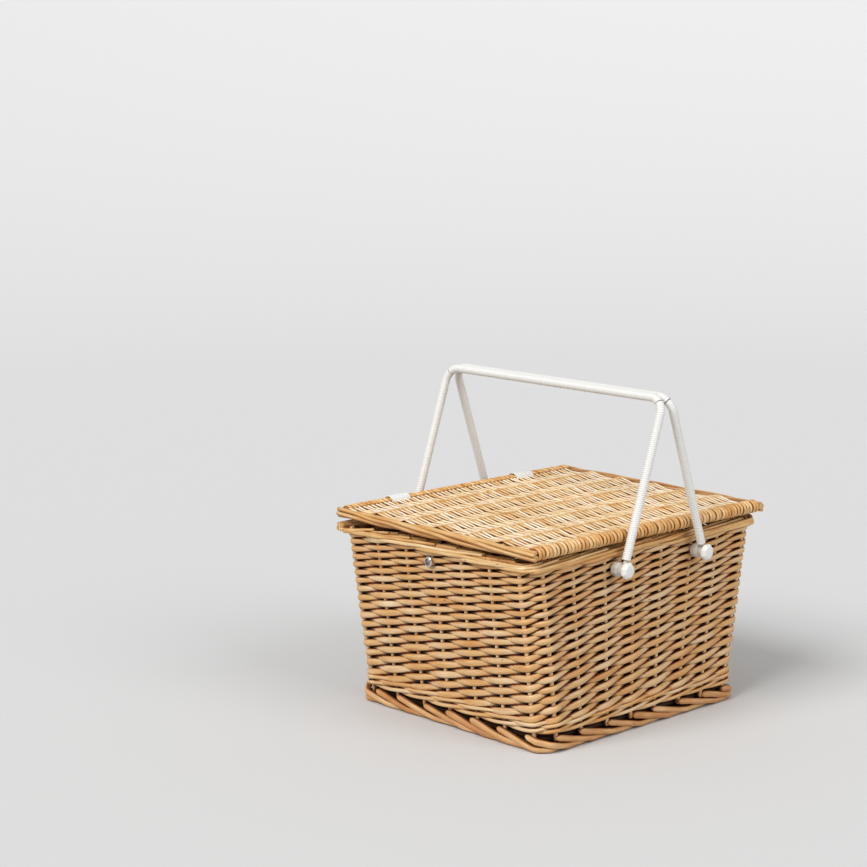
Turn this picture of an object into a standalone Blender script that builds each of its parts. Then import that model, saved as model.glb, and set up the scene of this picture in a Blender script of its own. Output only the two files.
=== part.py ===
# Lidded willow picnic basket with a hinged woven lid and two wrapped bail handles.
# Metres, +Z up. Origin: centre of the basket's footprint, on the surface it stands on.
# +X runs along the long side, -Y is the front, and the lid hinges along the back (+Y).

import math

import bmesh
import bpy
from mathutils import Matrix, Vector

# Body: half sizes are taken to the outer face of the weave
FOOT_HALF = (0.1535, 0.1420)
FOOT_HEIGHT = 0.0217
FOOT_THICK = 0.018
WALL_LOW, WALL_HIGH = 0.0220, 0.1897
WALL_LOW_HALF = (0.1530, 0.1415)
WALL_HIGH_HALF = (0.1790, 0.1450)
WALL_THICK = 0.014
COURSES = 16                      # rows of weave up the wall
COURSE_DEPTH = 0.0014             # how far a row stands out between two grooves
POST_RADIUS = 0.0068              # doubled corner stakes
POST_TRIM = 0.0017                # its square-cut ends lean, so they stop short of the borders
CORNER = 0.0152                   # square left free for a corner post
RIM_HALF = (0.1802, 0.1465)
RIM_LOW, RIM_HIGH = 0.1900, 0.2020
RIM_THICK = 0.016
GAP = 0.0004                      # running gap between touching pieces

# Lid, hinged on the back rim rod
HINGE_Y, HINGE_Z = 0.1375, 0.1965
HINGE_ROD_RADIUS = 0.0055
LID_Z = 0.2115                    # centre height of the lid's rods
ROLL_RADIUS = 0.0072              # edge rods with the weavers wrapped round them
FRONT_ROLL_Y, BACK_ROLL_Y = -0.1428, 0.1375
LID_HALF = 0.1700                 # half length of rolls, sticks and panel
LID_END_WIDTH = 0.0100
PANEL_HALF_THICK = 0.0048
STICKS = 5
STICK_RADIUS = 0.0040
STRAP_X = 0.0960
STRAP_HALF_WIDTH = 0.0138
STRAP_THICK = 0.0012

# Bails and their pivots
BAIL_CENTRE = 0.0060              # the pair of bails sits a little right of the middle
PIVOT_SPAN = 0.0620               # pivot to the pair's centre
PIVOT_Z = 0.1795
BAIL_Y = 0.1575                   # plane of the legs, in front of and behind the walls
BAR_Z = 0.3487
WRAP_RADIUS = 0.0046
WRAP_BORE = 0.0027
CORE_RADIUS = 0.0024
CORNER_RADIUS = 0.0160
EYE_RADIUS, EYE_HALF = 0.0060, 0.0027
STUD_RADIUS = 0.0024
STUD_BORE = 0.0031
KNOB_RADIUS = 0.0095
SPACER_RADIUS = 0.0078


def half_at(z, axis):
    """Half size of the basket at height z: it widens in a straight line from foot to rim."""
    share = (z - WALL_LOW) / (WALL_HIGH - WALL_LOW)
    return WALL_LOW_HALF[axis] + share * (WALL_HIGH_HALF[axis] - WALL_LOW_HALF[axis])


def make_material(name, colour, roughness, metallic):
    made = bpy.data.materials.new(name)
    made.use_nodes = True
    shader = made.node_tree.nodes["Principled BSDF"]
    shader.inputs["Base Color"].default_value = (*colour, 1.0)
    shader.inputs["Roughness"].default_value = roughness
    shader.inputs["Metallic"].default_value = metallic
    return made


def add_object(name, data, collection, material=None, parent=None):
    made = bpy.data.objects.new(name, data)
    collection.objects.link(made)
    if material:
        data.materials.append(material)
    made.parent = parent
    return made


def box_mesh(name, low, high, cuts=(), axis=2, shape=None):
    """A cube primitive fitted to low..high, cut across an axis and then bent by shape."""
    mesh = bpy.data.meshes.new(name)
    work = bmesh.new()
    bmesh.ops.create_cube(work, size=1.0)
    for vert in work.verts:
        vert.co = [a + (c + 0.5) * (b - a) for a, b, c in zip(low, high, vert.co)]
    normal = Vector((0, 0, 0))
    normal[axis] = 1.0
    for cut in cuts:
        everything = work.verts[:] + work.edges[:] + work.faces[:]
        bmesh.ops.bisect_plane(work, geom=everything, plane_co=normal * cut, plane_no=normal)
    if shape:
        for vert in work.verts:
            vert.co = shape(vert.co.copy())
    work.to_mesh(mesh)
    work.free()
    return mesh


def tube(name, points, radius, collection, material, parent=None, sides=3, caps=True):
    """A round rod along the points, as a bevelled curve."""
    curve = bpy.data.curves.new(name, "CURVE")
    curve.dimensions = "3D"
    curve.bevel_depth = radius
    curve.bevel_resolution = sides
    curve.use_fill_caps = caps
    line = curve.splines.new("POLY")
    line.points.add(len(points) - 1)
    for place, point in zip(line.points, points):
        place.co = (*point, 1.0)
    return add_object(name, curve, collection, material, parent)


def as_mesh(curve_object):
    """The same rod as a closed mesh, ready for a Boolean."""
    bpy.context.view_layer.update()
    graph = bpy.context.evaluated_depsgraph_get()
    mesh = bpy.data.meshes.new_from_object(curve_object.evaluated_get(graph))
    work = bmesh.new()
    work.from_mesh(mesh)
    bmesh.ops.remove_doubles(work, verts=work.verts, dist=0.00001)
    bmesh.ops.recalc_face_normals(work, faces=work.faces)
    work.to_mesh(mesh)
    work.free()
    name, parent = curve_object.name, curve_object.parent
    collection, place = curve_object.users_collection[0], curve_object.matrix_world.copy()
    bpy.data.objects.remove(curve_object)
    made = add_object(name, mesh, collection, None, parent)
    made.matrix_world = place
    return made


def cylinder_mesh(name, radius, length, sides):
    """A capped cylinder primitive along its own Y, centred."""
    mesh = bpy.data.meshes.new(name)
    work = bmesh.new()
    bmesh.ops.create_cone(work, cap_ends=True, segments=sides, radius1=radius, radius2=radius,
                          depth=length, matrix=Matrix.Rotation(math.pi / 2, 4, "X"))
    work.to_mesh(mesh)
    work.free()
    return mesh


def turned(name, profile, sides, collection, material):
    """A profile of (radius, height) pairs, top to bottom down its outer side, turned about Z."""
    mesh = bpy.data.meshes.new(name)
    closed = profile[0][0] > 0
    count = len(profile)
    links = [(i, (i + 1) % count) for i in range(count if closed else count - 1)]
    mesh.from_pydata([(r, 0, z) for r, z in profile], links, [])
    made = add_object(name, mesh, collection, material)
    screw = made.modifiers.new("turn", "SCREW")
    screw.steps = screw.render_steps = sides
    screw.use_merge_vertices = True
    screw.merge_threshold = 0.00001
    return made


def boolean(target, other, operation="DIFFERENCE"):
    change = target.modifiers.new(other.name, "BOOLEAN")
    change.operation = operation
    change.object = other


def add_cutter(name, mesh, place, turn=(0, 0, 0), parent=None):
    made = add_object(name, mesh, cutters, None, parent)
    made.location = place
    made.rotation_euler = turn
    made.hide_render = True
    made.display_type = "WIRE"
    return made


for old in list(bpy.data.objects):
    bpy.data.objects.remove(old, do_unlink=True)

basket = bpy.data.collections.new("picnic_basket")
cutters = bpy.data.collections.new("cutters")
bpy.context.scene.collection.children.link(basket)
bpy.context.scene.collection.children.link(cutters)

willow = make_material("willow", (0.62, 0.40, 0.19), 0.55, 0.0)
pale_willow = make_material("pale_willow", (0.76, 0.56, 0.32), 0.5, 0.0)
cane = make_material("white_cane", (0.80, 0.79, 0.76), 0.4, 0.0)
plastic = make_material("white_plastic", (0.78, 0.78, 0.76), 0.35, 0.0)
steel = make_material("steel_wire", (0.45, 0.45, 0.46), 0.35, 1.0)
nickel = make_material("nickel", (0.70, 0.69, 0.67), 0.25, 1.0)

# Walls: a slab per side whose outer face carries one low ridge per course of weave
pitch = (WALL_HIGH - WALL_LOW) / COURSES
course_lines = [WALL_LOW + pitch * k / 2 for k in range(1, 2 * COURSES)]


def wall_shape(axis, side):
    """Maps a unit slab to a leaning wall; axis 1 is front and back, axis 0 is the ends."""
    def shape(point):
        z = point.z
        groove = COURSE_DEPTH if abs(((z - WALL_LOW) / pitch) % 1.0 - 0.5) > 0.25 else 0.0
        run = half_at(z, 1 - axis) - CORNER
        out = half_at(z, axis) - (WALL_THICK if point.y > 0 else groove)
        along = point.x * 2 * run
        return Vector((along, side * out, z)) if axis else Vector((side * out, along, z))
    return shape


def facing_out(mesh):
    work = bmesh.new()
    work.from_mesh(mesh)
    bmesh.ops.recalc_face_normals(work, faces=work.faces)
    work.to_mesh(mesh)
    work.free()
    return mesh


walls = {}
for name, axis, side in (("front", 1, -1), ("back", 1, 1), ("left", 0, -1), ("right", 0, 1)):
    mesh = box_mesh("wall_" + name, (-0.5, -0.5, WALL_LOW), (0.5, 0.5, WALL_HIGH),
                    course_lines, 2, wall_shape(axis, side))
    walls[name] = add_object("wall_" + name, facing_out(mesh), basket, willow)

for end_x, x_name in ((-1, "left"), (1, "right")):
    for end_y, y_name in ((-1, "front"), (1, "back")):
        ends = [(end_x * (half_at(z, 0) - CORNER / 2), end_y * (half_at(z, 1) - CORNER / 2), z)
                for z in (WALL_LOW + POST_TRIM, WALL_HIGH - POST_TRIM)]
        tube(f"corner_post_{y_name}_{x_name}", ends, POST_RADIUS, basket, willow)


# Borders: bundles of laid rods, round-backed on their outer side
def border(name, low, high, axis, side, swell):
    """A bar whose outer face bulges over each of its three rods."""
    depth = high[2] - low[2]
    lines = [low[2] + depth * k / 6 for k in range(1, 6)]

    def shape(point):
        share = (point.z - low[2]) / depth * 3 % 1.0
        near = 0.25 < share < 0.75
        if not near and side * (point[axis] - (low[axis] + high[axis]) / 2) > 0:
            point[axis] -= side * swell
        return point
    return add_object(name, box_mesh(name, low, high, lines, 2, shape), basket, willow)


foot_x, foot_y = FOOT_HALF
inner_x, inner_y = foot_x - FOOT_THICK, foot_y - FOOT_THICK
border("foot_front", (-foot_x, -foot_y, 0), (foot_x, -inner_y, FOOT_HEIGHT), 1, -1, 0.002)
border("foot_back", (-foot_x, inner_y, 0), (foot_x, foot_y, FOOT_HEIGHT), 1, 1, 0.002)
border("foot_left", (-foot_x, -inner_y + GAP, 0), (-inner_x, inner_y - GAP, FOOT_HEIGHT),
       0, -1, 0.002)
border("foot_right", (inner_x, -inner_y + GAP, 0), (foot_x, inner_y - GAP, FOOT_HEIGHT),
       0, 1, 0.002)
base = box_mesh("base_panel", (-inner_x + GAP, -inner_y + GAP, 0.0100),
                (inner_x - GAP, inner_y - GAP, FOOT_HEIGHT - 0.0017))
add_object("base_panel", base, basket, willow)

rim_x, rim_y = RIM_HALF
rim_back = HINGE_Y - HINGE_ROD_RADIUS - GAP
border("rim_front", (-rim_x, -rim_y, RIM_LOW), (rim_x, RIM_THICK - rim_y, RIM_HIGH), 1, -1, 0.002)
border("rim_left", (-rim_x, RIM_THICK - rim_y + GAP, RIM_LOW),
       (RIM_THICK - rim_x, rim_back, RIM_HIGH), 0, -1, 0.002)
border("rim_right", (rim_x - RIM_THICK, RIM_THICK - rim_y + GAP, RIM_LOW),
       (rim_x, rim_back, RIM_HIGH), 0, 1, 0.002)
tube("rim_hinge_rod", [(-rim_x, HINGE_Y, HINGE_Z), (rim_x, HINGE_Y, HINGE_Z)],
     HINGE_ROD_RADIUS, basket, willow, sides=4)

# Lid: everything hangs on an empty that lies on the hinge rod's axis
lid_hinge = add_object("lid_hinge", None, basket)
lid_hinge.location = (0, HINGE_Y, HINGE_Z)


def on_lid(made):
    made.parent = lid_hinge
    made.location -= lid_hinge.location
    return made


panel_front = FRONT_ROLL_Y + ROLL_RADIUS + GAP
panel_back = BACK_ROLL_Y - ROLL_RADIUS - GAP
panel = on_lid(add_object("lid_panel", box_mesh(
    "lid_panel", (-LID_HALF, panel_front, LID_Z - PANEL_HALF_THICK),
    (LID_HALF, panel_back, LID_Z + PANEL_HALF_THICK)), basket, pale_willow))
stick_z = LID_Z + PANEL_HALF_THICK - 0.0010
for index in range(STICKS):
    share = (index + 1) / (STICKS + 1)
    stick_y = FRONT_ROLL_Y + share * (BACK_ROLL_Y - FRONT_ROLL_Y)
    on_lid(tube(f"lid_stick_{index + 1}", [(-LID_HALF, stick_y, stick_z),
                                           (LID_HALF, stick_y, stick_z)],
                STICK_RADIUS, basket, pale_willow))
    groove = add_cutter(f"stick_groove_{index + 1}",
                        cylinder_mesh("groove", STICK_RADIUS + GAP + 0.0003, 0.4, 12),
                        (0, stick_y, stick_z), (0, 0, math.pi / 2))
    boolean(panel, groove)

for name, roll_y in (("lid_front_roll", FRONT_ROLL_Y), ("lid_back_roll", BACK_ROLL_Y)):
    on_lid(tube(name, [(-LID_HALF, roll_y, LID_Z), (LID_HALF, roll_y, LID_Z)],
                ROLL_RADIUS, basket, pale_willow, sides=4))
for side, name in ((-1, "lid_end_left"), (1, "lid_end_right")):
    near, far = side * (LID_HALF + GAP), side * (LID_HALF + LID_END_WIDTH + GAP)
    on_lid(border(name, (min(near, far), FRONT_ROLL_Y - 0.0062, LID_Z - 0.0072),
                  (max(near, far), BACK_ROLL_Y + 0.0062, LID_Z + 0.0060), 0, side, 0.0015))


def belt_outline(grow, steps=10):
    """Closed outline round the hinge rod and the lid's back roll, grown outwards by grow.

    Both circles share a vertical centre line, so the belt's straight sides touch them at the
    angle asin((R - r) / distance) above the horizontal.
    """
    low_radius = HINGE_ROD_RADIUS + 0.0003 + grow
    high_radius = ROLL_RADIUS + 0.0004 + grow
    rise = LID_Z - HINGE_Z
    tilt = -math.asin((high_radius - low_radius) / rise)
    top = [(high_radius * math.cos(a), rise + high_radius * math.sin(a))
           for a in (tilt + (math.pi - 2 * tilt) * k / steps for k in range(steps + 1))]
    bottom = [(low_radius * math.cos(a), low_radius * math.sin(a))
              for a in (math.pi - tilt + (math.pi + 2 * tilt) * k / steps
                        for k in range(steps + 1))]
    return top + bottom


for side, name in ((-1, "left"), (1, "right")):
    ring = bpy.data.curves.new("hinge_strap_" + name, "CURVE")
    ring.dimensions = "2D"
    ring.fill_mode = "BOTH"
    ring.extrude = STRAP_HALF_WIDTH
    for grow in (STRAP_THICK, 0.0):
        outline = belt_outline(grow)
        line = ring.splines.new("POLY")
        line.points.add(len(outline) - 1)
        line.use_cyclic_u = True
        for place, point in zip(line.points, outline):
            place.co = (*point, 0.0, 1.0)
    strap = add_object("hinge_strap_" + name, ring, basket, cane, lid_hinge)
    strap.location = (side * STRAP_X, 0, 0)
    strap.rotation_euler = (math.pi / 2, 0, math.pi / 2)
    clear = 2 * (STRAP_HALF_WIDTH + 0.0008)
    notch_depth = ROLL_RADIUS + STRAP_THICK + 0.0009
    boolean(panel, add_cutter("panel_notch_" + name, box_mesh(
        "notch", (-clear / 2, -notch_depth, -0.01), (clear / 2, 0.0, 0.01)),
        (side * STRAP_X, BACK_ROLL_Y, LID_Z)))
    boolean(walls["back"], add_cutter("wall_notch_" + name,
                                      cylinder_mesh("notch", HINGE_ROD_RADIUS + STRAP_THICK
                                                    + 0.0009, clear, 24),
                                      (side * STRAP_X, HINGE_Y, HINGE_Z),
                                      (0, 0, math.pi / 2)))

# Bails: a steel core bent to a U, wrapped in three runs of cane, on an empty at the pivot axis
bail_height = BAR_Z - PIVOT_Z
leaning_run = PIVOT_SPAN - WRAP_RADIUS - GAP
leg_length = math.hypot(bail_height, leaning_run)
lean = math.atan2(leaning_run, bail_height)


def bend_points(first, last, steps=5):
    """Front corner of the bail, from angle first to last; 0 is the leg's end of the bend."""
    return [(0, -BAIL_Y + CORNER_RADIUS * (1 - math.cos(a)),
             leg_length - CORNER_RADIUS + CORNER_RADIUS * math.sin(a))
            for a in (math.radians(first + (last - first) * k / steps)
                      for k in range(steps + 1))]


def mirrored(points):
    return [(x, -y, z) for x, y, z in reversed(points)]


wrap_start = KNOB_RADIUS + 0.0007
front_leg = [(0, -BAIL_Y, wrap_start)] + bend_points(0, 43)
top_half = bend_points(47, 90)
whole = [(0, -BAIL_Y, 0)] + bend_points(0, 90, 9)

for side, name in ((-1, "left"), (1, "right")):
    pivot_x = BAIL_CENTRE + side * PIVOT_SPAN
    pivot = add_object(f"{name}_bail_pivot", None, basket)
    pivot.location = (pivot_x, 0, PIVOT_Z)
    pivot.rotation_euler = (0, -side * lean, 0)
    runs = {"wrap_front": front_leg, "wrap_bar": top_half + mirrored(top_half),
            "wrap_back": mirrored(front_leg)}
    for run, points in runs.items():
        made = tube(f"{name}_bail_{run}", points, WRAP_RADIUS, basket, cane, pivot, 4, False)
        skin = made.modifiers.new("thickness", "SOLIDIFY")
        skin.thickness = WRAP_RADIUS - WRAP_BORE
        skin.offset = -1
    core = as_mesh(tube(f"{name}_bail_core", whole + mirrored(whole), CORE_RADIUS,
                        basket, steel, pivot, 3))
    for end, end_name in ((-1, "front"), (1, "back")):
        eye = add_cutter(f"{name}_{end_name}_eye", cylinder_mesh("eye", EYE_RADIUS,
                                                                 2 * EYE_HALF, 20),
                         (0, end * BAIL_Y, 0), parent=pivot)
        boolean(core, eye, "UNION")
        bore = add_cutter(f"{name}_{end_name}_bore", cylinder_mesh("bore", STUD_BORE,
                                                                   0.02, 16),
                          (0, end * BAIL_Y, 0), parent=pivot)
        boolean(core, bore)

        # Fixed pivot: spacer, knob and stud, with a domed nut on the inner face of the wall
        label = f"{name}_{end_name}"
        turn = (-end * math.pi / 2, 0, 0)
        wall_out = half_at(PIVOT_Z, 1) + 0.0007
        wall_in = half_at(PIVOT_Z, 1) - WALL_THICK - 0.0008
        spacer_length = BAIL_Y - EYE_HALF - 0.0003 - wall_out
        spacer = turned("spacer_" + label, [(STUD_BORE, spacer_length),
                                            (SPACER_RADIUS - 0.001, spacer_length),
                                            (SPACER_RADIUS, spacer_length - 0.001),
                                            (SPACER_RADIUS, 0.001),
                                            (SPACER_RADIUS - 0.001, 0), (STUD_BORE, 0)],
                        8, basket, plastic)
        spacer.location = (pivot_x, end * wall_out, PIVOT_Z)
        knob = turned("knob_" + label, [(0, 0.0058), (KNOB_RADIUS - 0.0026, 0.0058),
                                        (KNOB_RADIUS, 0.0034), (KNOB_RADIUS, 0.0008),
                                        (KNOB_RADIUS - 0.0008, 0), (STUD_BORE, 0),
                                        (STUD_BORE, 0.0036), (0, 0.0036)],
                      8, basket, plastic)
        knob.location = (pivot_x, end * (BAIL_Y + EYE_HALF + 0.0003), PIVOT_Z)
        nut = turned("dome_nut_" + label, [(0, 0.0062), (0.0030, 0.0056), (0.0050, 0.0034),
                                           (0.0052, 0.0016), (0.0074, 0.0014), (0.0074, 0),
                                           (0.0028, 0), (0.0028, 0.0038), (0, 0.0038)],
                     16, basket, nickel)
        nut.location = (pivot_x, end * wall_in, PIVOT_Z)
        spacer.rotation_euler = knob.rotation_euler = turn
        nut.rotation_euler = (-turn[0], 0, 0)
        stud_out = BAIL_Y + EYE_HALF + 0.0003 + 0.0032
        stud_in = wall_in - 0.0034
        stud = add_object("stud_" + label, cylinder_mesh("stud", STUD_RADIUS,
                                                         stud_out - stud_in, 16),
                          basket, steel)
        stud.location = (pivot_x, end * (stud_out + stud_in) / 2, PIVOT_Z)
        hole = add_cutter("stud_hole_" + label, cylinder_mesh("hole", STUD_BORE, 0.04, 16),
                          (pivot_x, end * half_at(PIVOT_Z, 1), PIVOT_Z))
        boolean(walls[end_name], hole)

# A screw in a cup washer high in the middle of each end
SCREW_Z = 0.1815
for side, name in ((-1, "left"), (1, "right")):
    out = half_at(SCREW_Z, 0) + 0.0012
    inner = half_at(SCREW_Z, 0) - WALL_THICK - 0.0013
    turn = (0, side * math.pi / 2, 0)
    cup = turned("cup_washer_" + name, [(0.0034, 0.0016), (0.0044, 0.0020), (0.0056, 0.0007),
                                        (0.0056, 0), (0.0034, 0)], 20, basket, nickel)
    cup.location = (side * out, 0, SCREW_Z)
    length = out - inner + 0.0010
    screw = turned("end_screw_" + name, [(0, 0.0014), (0.0022, 0.0012), (0.0030, 0.0004),
                                         (0.0030, 0), (0.0020, 0), (0.0020, -length),
                                         (0, -length)], 16, basket, steel)
    screw.location = (side * out, 0, SCREW_Z)
    inside = turned("inner_washer_" + name, [(0.0024, 0.0010), (0.0060, 0.0010), (0.0060, 0),
                                             (0.0024, 0)], 20, basket, nickel)
    inside.location = (side * (inner - 0.0010), 0, SCREW_Z)
    cup.rotation_euler = screw.rotation_euler = inside.rotation_euler = turn
    hole = add_cutter("screw_hole_" + name, cylinder_mesh("hole", 0.0025, 0.04, 16),
                      (side * half_at(SCREW_Z, 0), 0, SCREW_Z), (0, 0, math.pi / 2))
    boolean(walls[name], hole)
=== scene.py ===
# Lidded willow picnic basket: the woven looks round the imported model.
import math

import bpy
import numpy as np
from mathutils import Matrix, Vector


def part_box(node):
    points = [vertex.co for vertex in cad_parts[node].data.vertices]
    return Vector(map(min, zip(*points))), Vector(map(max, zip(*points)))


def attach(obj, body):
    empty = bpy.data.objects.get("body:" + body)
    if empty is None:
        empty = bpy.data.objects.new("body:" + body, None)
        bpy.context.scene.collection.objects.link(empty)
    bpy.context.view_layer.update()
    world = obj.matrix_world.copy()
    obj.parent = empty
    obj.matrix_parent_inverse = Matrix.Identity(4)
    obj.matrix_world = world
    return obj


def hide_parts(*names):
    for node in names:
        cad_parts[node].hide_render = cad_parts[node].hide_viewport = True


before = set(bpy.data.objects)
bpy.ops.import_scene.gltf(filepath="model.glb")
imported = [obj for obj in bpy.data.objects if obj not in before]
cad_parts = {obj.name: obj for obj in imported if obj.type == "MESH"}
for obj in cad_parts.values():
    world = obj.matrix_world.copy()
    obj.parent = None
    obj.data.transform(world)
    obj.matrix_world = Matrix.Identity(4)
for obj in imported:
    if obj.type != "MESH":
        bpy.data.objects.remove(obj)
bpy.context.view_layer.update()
draw = np.random.default_rng(41)
print("frame loaded:", len(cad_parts), "nodes")


# Shapes. A rod is an ellipse carried along a line of points; every rod of a group has as many
# points as the others.

upwards = np.array([0.0, 0.0, 1.0])


def unit(vectors):
    return vectors / np.maximum(np.linalg.norm(vectors, axis=-1, keepdims=True), 1e-12)


# Slow random bending: three sine waves of one length scale, each rod with its own phases.
def wander(along, amount, wave):
    rods = along.shape[0]
    total = np.zeros_like(along)
    for share, part in ((0.5, 1.0), (0.3, 2.3), (0.35, 0.47)):
        phase = draw.uniform(0, 2 * np.pi, (rods, 1))
        stretch = draw.uniform(0.8, 1.25, (rods, 1))
        total += share * np.sin(2 * np.pi * along * stretch * part / wave + phase)
    return amount * total


# Point = line + outward * deep * cos(angle) + across * wide * sin(angle). Open rods end in caps:
# dome is how far the cap's middle stands out. Each point also gets rodSpace, its metres along, out
# and across, and rodTone: the rod's tint, how far forward it lies (0 tucked behind, 1 in front) and
# 1 in its middle to 0 at its edges.
# The depth and edge values in rodTone set where the materials paint shade: dark behind, brown at
# edges.
def sweepRods(line, outward, wide, deep, tint=0.5, depth=1.0, sides=10, closed=False, dome=0.0,
              flatness=1.0, reach=1.0, back=None):
    line = np.asarray(line, float)
    rods, steps = line.shape[:2]
    if closed:
        ahead = unit(np.roll(line, -1, axis=1) - np.roll(line, 1, axis=1))
    else:
        ahead = unit(np.gradient(line, axis=1))
    across = unit(np.cross(ahead, np.broadcast_to(outward, line.shape)))
    facing = np.cross(across, ahead)
    wide, deep, tint, depth = (np.broadcast_to(np.asarray(v, float), (rods, steps))
                               for v in (wide, deep, tint, depth))
    angle = 2 * np.pi * np.arange(sides) / sides
    square = np.sign(np.cos(angle)) * np.abs(np.cos(angle)) ** flatness
    out = deep[..., None] * square
    side = wide[..., None] * np.sign(np.sin(angle)) * np.abs(np.sin(angle)) ** flatness
    points = (line[:, :, None] + facing[:, :, None] * out[..., None]
              + across[:, :, None] * side[..., None])
    stepLengths = np.linalg.norm(np.diff(line, axis=1), axis=-1)
    length = np.concatenate([np.zeros((rods, 1)), np.cumsum(stepLengths, axis=1)], axis=1)
    length = length + draw.uniform(0, 40, (rods, 1))
    space = np.stack([np.broadcast_to(length[..., None], out.shape), out, side], axis=-1)
    # Reach is the share of the half width that its neighbours leave showing; the tone is 0 at that
    # edge. Back gives the depth and the reach of the side turned away from outward, where they
    # differ.
    depthBack, reachBack = (depth, reach) if back is None else back
    reach, depthBack, reachBack = (np.broadcast_to(np.asarray(v, float), (rods, steps))[..., None]
                                   for v in (reach, depthBack, reachBack))
    front = np.cos(angle) > 0
    toEdge = np.abs(np.sin(angle)) / np.where(front, reach, reachBack)
    tone = np.stack([np.broadcast_to(tint[..., None], out.shape),
                     np.where(front, depth[..., None], depthBack),
                     np.sqrt(np.clip(1 - toEdge ** 2, 0, 1))], axis=-1)
    rod, step, turn = np.meshgrid(np.arange(rods), np.arange(steps if closed else steps - 1),
                                  np.arange(sides), indexing="ij")

    def index(r, i, j):
        return (r * steps + i % steps) * sides + j % sides

    quads = np.stack([index(rod, step, turn), index(rod, step, turn + 1),
                      index(rod, step + 1, turn + 1), index(rod, step + 1, turn)],
                     axis=-1).reshape(-1, 4)
    shape = {"points": points.reshape(-1, 3), "quads": quads, "caps": np.zeros((0, 3), int),
             "space": space.reshape(-1, 3), "tone": tone.reshape(-1, 3)}
    if closed:
        return shape
    count = rods * steps * sides
    first = line[:, 0] - ahead[:, 0] * dome
    last = line[:, -1] + ahead[:, -1] * dome
    r, j = np.meshgrid(np.arange(rods), np.arange(sides), indexing="ij")
    shape["caps"] = np.concatenate([
        np.stack([count + r, index(r, 0, j + 1), index(r, 0, j)], axis=-1).reshape(-1, 3),
        np.stack([count + rods + r, index(r, steps - 1, j), index(r, steps - 1, j + 1)],
                 axis=-1).reshape(-1, 3)])
    shape["points"] = np.concatenate([shape["points"], first, last])
    for end in (0, -1):
        middle = np.stack([length[:, end], np.zeros(rods), np.zeros(rods)], axis=-1)
        shape["space"] = np.concatenate([shape["space"], middle])
        ending = np.stack([tint[:, end], depth[:, end], np.full(rods, 0.5)], axis=-1)
        shape["tone"] = np.concatenate([shape["tone"], ending])
    return shape


# The faces between rings stacked one after another, each of as many points.
def ringQuads(rings, sides):
    ring, turn = np.meshgrid(np.arange(rings - 1), np.arange(sides), indexing="ij")
    ahead = (turn + 1) % sides
    return np.stack([ring * sides + turn, (ring + 1) * sides + turn, (ring + 1) * sides + ahead,
                     ring * sides + ahead], axis=-1).reshape(-1, 4)


def joined(shapes):
    offset = np.cumsum([0] + [len(s["points"]) for s in shapes[:-1]])
    return {"points": np.concatenate([s["points"] for s in shapes]),
            "space": np.concatenate([s["space"] for s in shapes]),
            "tone": np.concatenate([s["tone"] for s in shapes]),
            "quads": np.concatenate([s["quads"] + o for s, o in zip(shapes, offset)]),
            "caps": np.concatenate([s["caps"] + o for s, o in zip(shapes, offset)])}


# Puts the arrays into a mesh, rides it on its body and hides the CAD nodes it stands for.
def addPiece(name, shape, body, material, nodes=(), sharpCaps=True, weld=False):
    mesh = bpy.data.meshes.new(name)
    quads, caps = shape["quads"], shape["caps"]
    mesh.vertices.add(len(shape["points"]))
    mesh.vertices.foreach_set("co", shape["points"].astype(np.float32).ravel())
    mesh.loops.add(quads.size + caps.size)
    mesh.loops.foreach_set("vertex_index",
                           np.concatenate([quads.ravel(), caps.ravel()]).astype(np.int32))
    mesh.polygons.add(len(quads) + len(caps))
    starts = np.concatenate([np.arange(len(quads)) * 4,
                             quads.size + np.arange(len(caps)) * 3])
    mesh.polygons.foreach_set("loop_start", starts.astype(np.int32))
    for label, values in (("rodSpace", shape["space"]), ("rodTone", shape["tone"])):
        layer = mesh.attributes.new(label, "FLOAT_VECTOR", "POINT")
        layer.data.foreach_set("vector", values.astype(np.float32).ravel())
    mesh.update(calc_edges=True)
    mesh.polygons.foreach_set("use_smooth", np.concatenate(
        [np.ones(len(quads), bool), np.full(len(caps), not sharpCaps)]))
    mesh.materials.append(material)
    piece = bpy.data.objects.new(name, mesh)
    bpy.context.scene.collection.objects.link(piece)
    if weld:
        merge = piece.modifiers.new("merge", "WELD")
        merge.merge_threshold = 2e-6
    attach(piece, body)
    if nodes:
        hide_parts(*nodes)
    return piece


# Gives a node's inputs their values, or links them where the value is a (node, output) pair.
def wire(tree, target, inputs):
    for key, value in inputs.items():
        if isinstance(value, tuple) and isinstance(value[0], bpy.types.Node):
            tree.links.new(value[0].outputs[value[1]], target.inputs[key])
        else:
            target.inputs[key].default_value = value


# A node with its settings and the links into it.
def node(tree, kind, inputs=None, **settings):
    made = tree.nodes.new("ShaderNode" + kind)
    for key, value in settings.items():
        setattr(made, key, value)
    wire(tree, made, inputs or {})
    return made


# On a Mix node the two colours are inputs 6 and 7, and the mixed colour is output 2.
def mixColour(tree, factor, first, second):
    return node(tree, "Mix", {0: factor, 6: first, 7: second}, data_type="RGBA"), 2


def linear(hexColour):
    parts = [int(hexColour[i:i + 2], 16) / 255 for i in (1, 3, 5)]
    flat = (p / 12.92 if p <= 0.04045 else ((p + 0.055) / 1.055) ** 2.4 for p in parts)
    return tuple(flat) + (1.0,)


def setRamp(ramp, stops):
    elements = ramp.color_ramp.elements
    while len(elements) < len(stops):
        elements.new(0.5)
    for element, (place, colour) in zip(elements, stops):
        element.position = place
        element.color = linear(colour)


def startMaterial(name, constants):
    made = bpy.data.materials.new(name)
    made.use_nodes = True
    shader = made.node_tree.nodes["Principled BSDF"]
    wire(made.node_tree, shader, constants)
    return made, made.node_tree, shader


def rodAttributes(tree):
    space = node(tree, "Attribute", attribute_name="rodSpace")
    tone = node(tree, "Attribute", attribute_name="rodTone")
    return space, node(tree, "SeparateXYZ", {"Vector": (tone, "Vector")})
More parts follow.
